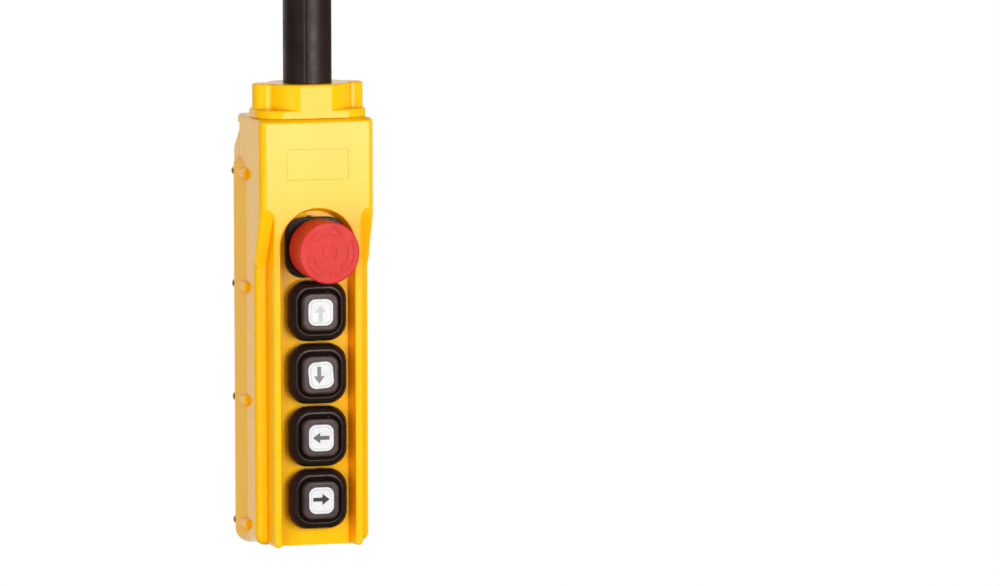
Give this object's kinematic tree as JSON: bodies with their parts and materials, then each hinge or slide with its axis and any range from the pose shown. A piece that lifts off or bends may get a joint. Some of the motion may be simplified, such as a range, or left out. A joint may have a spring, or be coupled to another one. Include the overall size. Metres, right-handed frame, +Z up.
{
  "type": "pendant control station",
  "caption": "Hanging pendant control station: yellow housing with booted push buttons in a guarded recess, a red twist-release emergency stop and a rubber cable sleeve.",
  "frame": {"origin": "centre of the cable sleeve's upper mouth, where the cable that carries the station comes in", "axes": "+Z up along the cable, -Y out of the button face, +X to the right of someone who faces the buttons"},
  "size_m": [0.0726, 0.0892, 0.3628],
  "materials": {
    "yellow_plastic": "glossy moulded plastic",
    "black_rubber": "satin rubber",
    "white_plastic": "satin moulded plastic",
    "red_plastic": "satin moulded plastic",
    "black_plastic": "fine matt moulded plastic",
    "grey_plastic": "matt moulded plastic",
    "steel": "bright steel",
    "seal_rubber": "matt rubber"
  },
  "bodies": {
    "housing": {"front_housing": "yellow_plastic", "rear_cover": "yellow_plastic", "cover_gasket": "seal_rubber", "cover_screw_left_1": "steel", "cover_screw_left_2": "steel", "cover_screw_left_3": "steel", "cover_screw_left_4": "steel", "cover_screw_right_1": "steel", "cover_screw_right_2": "steel", "cover_screw_right_3": "steel", "cover_screw_right_4": "steel", "top_cap": "yellow_plastic", "cap_gasket": "seal_rubber", "cap_screw_left": "steel", "cap_screw_right": "steel", "cable_sleeve": "black_rubber", "cable_clamp": "grey_plastic", "clamp_screw_left": "steel", "clamp_screw_right": "steel", "up_boot": "black_rubber", "up_bush": "black_plastic", "up_nut": "grey_plastic", "up_spring": "steel", "up_contact_block": "black_plastic", "down_boot": "black_rubber", "down_bush": "black_plastic", "down_nut": "grey_plastic", "down_spring": "steel", "down_contact_block": "black_plastic", "left_boot": "black_rubber", "left_bush": "black_plastic", "left_nut": "grey_plastic", "left_spring": "steel", "left_contact_block": "black_plastic", "right_boot": "black_rubber", "right_bush": "black_plastic", "right_nut": "grey_plastic", "right_spring": "steel", "right_contact_block": "black_plastic", "estop_collar": "black_plastic", "estop_nut": "grey_plastic", "estop_spring": "steel", "estop_contact_block": "black_plastic"},
    "up_button": {"up_button": "black_plastic", "up_legend": "white_plastic"},
    "down_button": {"down_button": "black_plastic", "down_legend": "white_plastic"},
    "left_button": {"left_button": "black_plastic", "left_legend": "white_plastic"},
    "right_button": {"right_button": "black_plastic", "right_legend": "white_plastic"},
    "estop_stem": {"estop_stem": "grey_plastic"},
    "estop_head": {"estop_head": "red_plastic"}
  },
  "joints": [
    {"name": "up_press", "type": "slide", "parent": "housing", "child": "up_button", "axis": [0, 1, 0], "range_m": [0, 0.004], "stiffness_N_per_m": 400, "springref_m": -0.002, "deforming": ["up_spring"]},
    {"name": "down_press", "type": "slide", "parent": "housing", "child": "down_button", "axis": [0, 1, 0], "range_m": [0, 0.004], "stiffness_N_per_m": 400, "springref_m": -0.002, "deforming": ["down_spring"]},
    {"name": "left_press", "type": "slide", "parent": "housing", "child": "left_button", "axis": [0, 1, 0], "range_m": [0, 0.004], "stiffness_N_per_m": 400, "springref_m": -0.002, "deforming": ["left_spring"]},
    {"name": "right_press", "type": "slide", "parent": "housing", "child": "right_button", "axis": [0, 1, 0], "range_m": [0, 0.004], "stiffness_N_per_m": 400, "springref_m": -0.002, "deforming": ["right_spring"]},
    {"name": "estop_press", "type": "slide", "parent": "housing", "child": "estop_stem", "axis": [0, 1, 0], "range_m": [0, 0.005], "stiffness_N_per_m": 1000, "springref_m": -0.002, "deforming": ["estop_spring"]},
    {"name": "estop_twist", "type": "hinge", "parent": "estop_stem", "child": "estop_head", "pos_m": [0, -0.03, -0.1911], "axis": [0, 1, 0], "range_deg": [0, 45], "stiffness_Nm_per_rad": 0.05}
  ]
}
